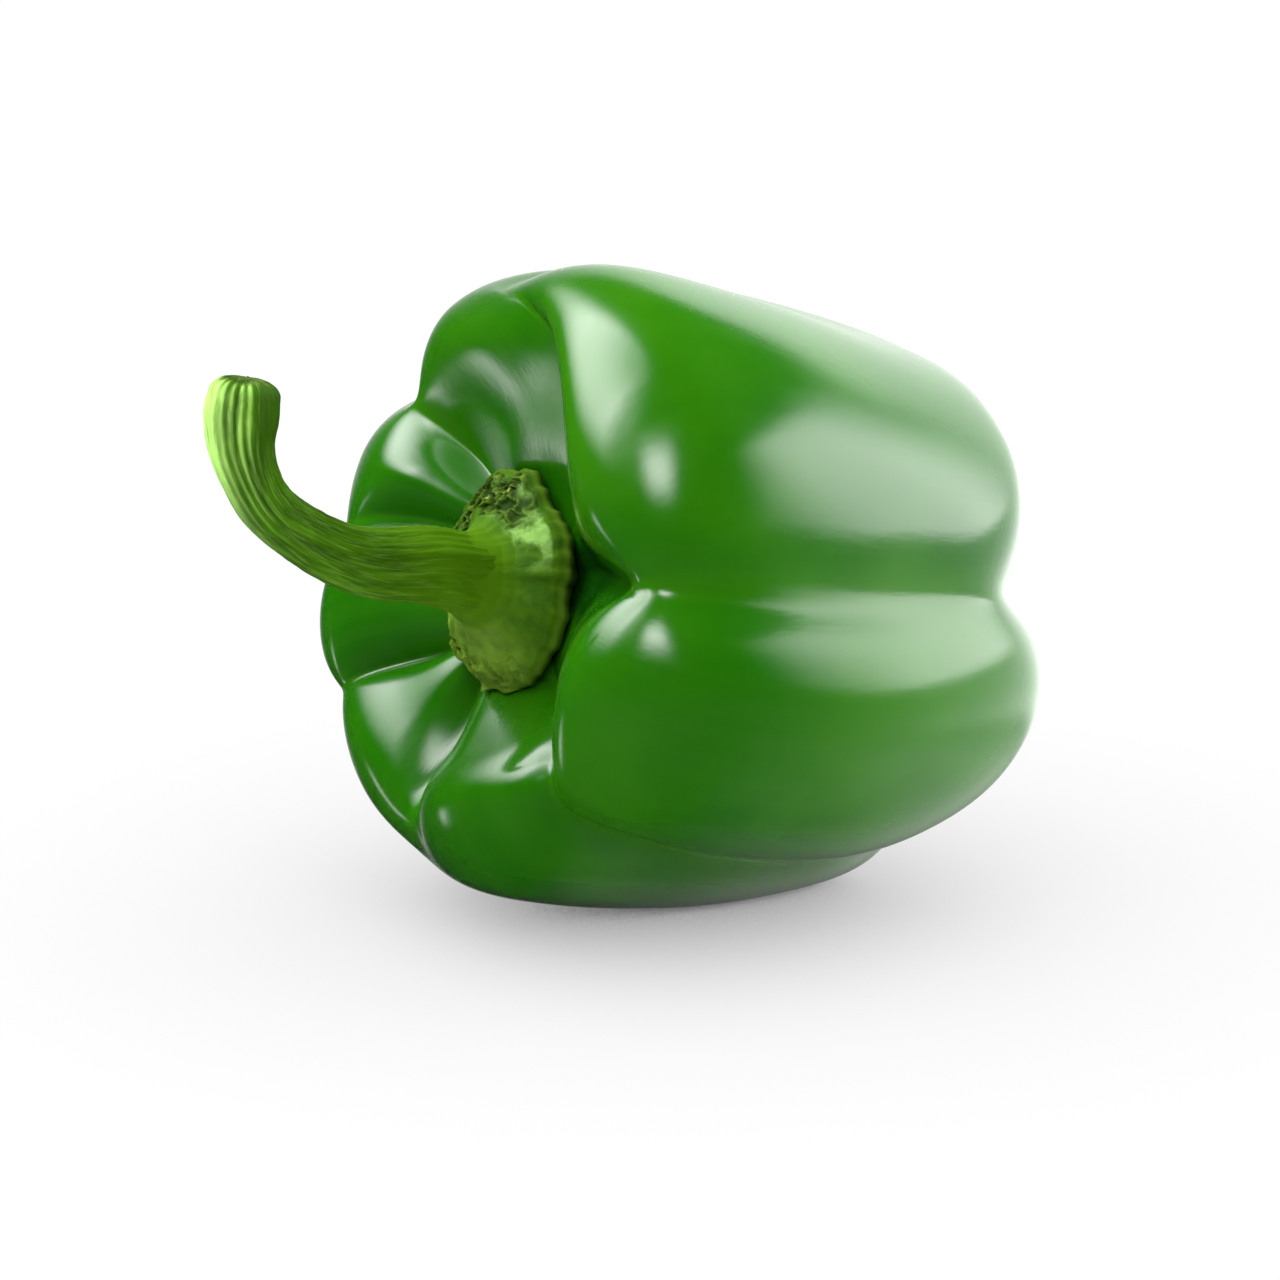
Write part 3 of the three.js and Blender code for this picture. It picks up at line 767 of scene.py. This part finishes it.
out_by = calc("ADD", out_by, lump)
outward = node("ShaderNodeVectorMath", {"operation": "SCALE"},
               Vector=node("GeometryNodeInputNormal").outputs["Normal"], Scale=out_by)
moved = node("GeometryNodeSetPosition", None, Geometry=swept.outputs["Mesh"],
             Offset=outward.outputs["Vector"])
shape = moved.outputs["Geometry"]
kept = {
    "side_x": side_x,
    "side_y": side_y,
    "along": path.outputs["along"],
}
for name, value in kept.items():
    stored = node("GeometryNodeStoreNamedAttribute", {"data_type": "FLOAT", "domain": "POINT"},
                  Geometry=shape, Name=name, Value=value)
    shape = stored.outputs["Geometry"]
smooth = node("GeometryNodeSetShadeSmooth", None, Geometry=shape, Shade_Smooth=True)
real = node("GeometryNodeRealizeInstances", None, Geometry=smooth.outputs["Geometry"])
painted = node("GeometryNodeSetMaterial", None, Geometry=real.outputs["Geometry"], Material=stalk_material)
result = node("NodeGroupOutput")
group.links.new(painted.outputs["Geometry"], result.inputs["Geometry"])
print("stalk tree has", len(group.nodes), "nodes")

# %% Turn the swept stalk into a plain mesh
modifier = curve_object.modifiers.new("ribbed_stalk", "NODES")
modifier.node_group = group
for item in group.interface.items_tree:
    if item.in_out == "INPUT" and item.name in STALK_INPUTS:
        modifier[item.identifier] = STALK_INPUTS[item.name][1]
evaluated = curve_object.evaluated_get(bpy.context.evaluated_depsgraph_get())
stalk_mesh = bpy.data.meshes.new_from_object(evaluated)
bpy.data.objects.remove(curve_object)
stalk_mesh.name = "stalk"
add_piece("stalk", stalk_mesh, "stem")

# %% [markdown]
# ## Studio
# The floor is plain and pale. To the camera it glows like white paper, and less so where the
# pepper hides it from the sky, which makes the soft grey shadow. The light comes from soft-edged
# panels all round, written into the sky as windows of azimuth and elevation: a wide softbox and a
# dim wall at the right, a small lamp near the camera, a softbox behind at the left, one overhead
# and two low glows. A broad fill from the right lights the skin but leaves no highlight on it.

# %% Floor
FLOOR_HALF = 3.0
DARK_GREY, PALE_GREY = (0.64, 0.64, 0.64), (0.68, 0.68, 0.68)
PAPER = (1.02, 1.02, 1.02, 1)
SHADOW_REACH, SHADOW_POWER, SHADOW_SAMPLES = 0.09, 0.38, 16
floor_mesh = bpy.data.meshes.new("floor")
corners = [(FLOOR_HALF * x, FLOOR_HALF * y, 0) for x, y in ((-1, -1), (1, -1), (1, 1), (-1, 1))]
floor_mesh.from_pydata(corners, [], [(0, 1, 2, 3)])
floor = bpy.data.objects.new("floor", floor_mesh)
bpy.context.scene.collection.objects.link(floor)
floor.visible_glossy = False
floor_material, tree, shader = new_material("pale_floor")
where = add(tree, "ShaderNodeTexCoord").outputs["Object"]
grey = mix(tree, noise_of(tree, where, 4), DARK_GREY, PALE_GREY)
tree.links.new(grey, shader.inputs["Base Color"])
shader.inputs["Roughness"].default_value = 0.9
openness = add(tree, "ShaderNodeAmbientOcclusion", {"samples": SHADOW_SAMPLES},
               Distance=SHADOW_REACH).outputs["AO"]
glow = math_node(tree, "POWER", openness, SHADOW_POWER)
paper = add(tree, "ShaderNodeEmission", None, Color=PAPER, Strength=glow)
seen = add(tree, "ShaderNodeLightPath").outputs["Is Camera Ray"]
both = add(tree, "ShaderNodeMixShader", None, i0=seen, i1=shader.outputs[0], i2=paper.outputs[0])
tree.links.new(both.outputs[0], tree.nodes["Material Output"].inputs["Surface"])
floor_mesh.materials.append(floor_material)
print("floor is", 2 * FLOOR_HALF, "m wide")

# %% The light that surrounds the pepper
world = bpy.data.worlds.new("studio")
bpy.context.scene.world = world
world.use_nodes = True
tree = world.node_tree
sky = tree.nodes["Background"]
DEGREES = 180 / math.pi
SKY_FLOOR = 0.02


def direction(azimuth, elevation):
    """Unit vector towards a place in the sky: azimuth 0 is the front, 90 the right."""
    a, e = math.radians(azimuth), math.radians(elevation)
    return Vector((math.sin(a) * math.cos(e), -math.cos(a) * math.cos(e), math.sin(e)))


looking = add(tree, "ShaderNodeTexCoord").outputs["Generated"]
toward = add(tree, "ShaderNodeSeparateXYZ", None, Vector=looking).outputs
to_front = math_node(tree, "MULTIPLY", toward["Y"], -1)
bearing = math_node(tree, "ARCTAN2", toward["X"], to_front)
sky_azimuth = math_node(tree, "MULTIPLY", bearing, DEGREES)
sky_elevation = math_node(tree, "MULTIPLY", math_node(tree, "ARCSINE", toward["Z"], 0.0), DEGREES)


def soft_panel(centre, half, soft, radiance):
    """A soft-edged panel of light: centre, half size and softness as (azimuth, elevation)."""
    off = math_node(tree, "SUBTRACT", sky_azimuth, centre[0])
    wrapped = add(tree, "ShaderNodeMath", {"operation": "WRAP"}, i0=off, i1=180.0, i2=-180.0).outputs[0]
    aside = math_node(tree, "ABSOLUTE", wrapped, 0.0)
    across = ramp(tree, aside, half[0] - soft[0], half[0] + soft[0], radiance, 0.0)
    above = math_node(tree, "ABSOLUTE", math_node(tree, "SUBTRACT", sky_elevation, centre[1]), 0.0)
    upright = ramp(tree, above, half[1] - soft[1], half[1] + soft[1], 1.0, 0.0)
    return math_node(tree, "MULTIPLY", across, upright)


PANELS = {
    "right softbox": ((62, 17.5), (22, 14), (14, 2), 5.8),
    "right wall": ((105, 4), (35, 25), (45, 4), 2.3),
    "right floor glow": ((81, -32), (44, 16), (23, 34), 1.5),
    "small lamp": ((-35, 40), (13, 9), (9, 9), 13.5),
    "left back softbox": ((-136, 58), (52, 20), (10, 16), 10.5),
    "overhead left": ((-79, 61), (12, 13), (21, 22), 6.7),
    "left floor glow": ((-141, -22), (4, 7), (4, 7), 4.8),
}
sky_light = SKY_FLOOR
for name, (centre, half, soft, radiance) in PANELS.items():
    sky_light = math_node(tree, "ADD", soft_panel(centre, half, soft, radiance), sky_light)
seen = add(tree, "ShaderNodeLightPath").outputs["Is Camera Ray"]
strength = add(tree, "ShaderNodeMix", {"data_type": "FLOAT"}, i0=seen, i2=sky_light, i3=1.0)
tree.links.new(strength.outputs[0], sky.inputs["Strength"])
sky.inputs["Color"].default_value = (1, 1, 1, 1)
print("panels:", ", ".join(PANELS))

# %% A broad fill from the right
FILL_ENERGY, FILL_SPREAD, FILL_PLACE = 3.6, 70, (82, 32)
fill_light = bpy.data.lights.new("right_fill", "SUN")
fill_light.energy = FILL_ENERGY
fill_light.angle = math.radians(FILL_SPREAD)
fill = bpy.data.objects.new("right_fill", fill_light)
bpy.context.scene.collection.objects.link(fill)
fill.rotation_euler = direction(*FILL_PLACE).to_track_quat("Z", "Y").to_euler()
fill.visible_glossy = False
print("fill strength", fill_light.energy)

# %% [markdown]
# ## Camera
# The camera stands where the photograph was taken from: to the left of the front, a little above,
# and far away with a long lens.

# %% Camera
CAMERA_AZIMUTH, CAMERA_ELEVATION, CAMERA_AWAY = -37.5, 13.9, 0.70
RIGHT_SHIFT, UP_SHIFT = -8.0, -3.2
FOCAL_PIXELS, FRAME_PIXELS, SENSOR_MM = 5490, 1280, 36
back = direction(CAMERA_AZIMUTH, CAMERA_ELEVATION)
turned = math.radians(CAMERA_AZIMUTH)
right = Vector((math.cos(turned), math.sin(turned), 0))
up = back.cross(right)
place = Vector(HEART * MM) + back * CAMERA_AWAY + right * RIGHT_SHIFT * MM + up * UP_SHIFT * MM
camera_data = bpy.data.cameras.new("camera")
camera_data.sensor_width = SENSOR_MM
camera_data.lens = FOCAL_PIXELS / FRAME_PIXELS * SENSOR_MM
camera = bpy.data.objects.new("camera", camera_data)
bpy.context.scene.collection.objects.link(camera)
camera.matrix_world = Matrix((
    (right.x, up.x, back.x, place.x),
    (right.y, up.y, back.y, place.y),
    (right.z, up.z, back.z, place.z),
    (0, 0, 0, 1),
))
bpy.context.scene.camera = camera
bpy.context.scene.view_settings.view_transform = "Standard"
print("lens", round(camera_data.lens, 1), "mm")
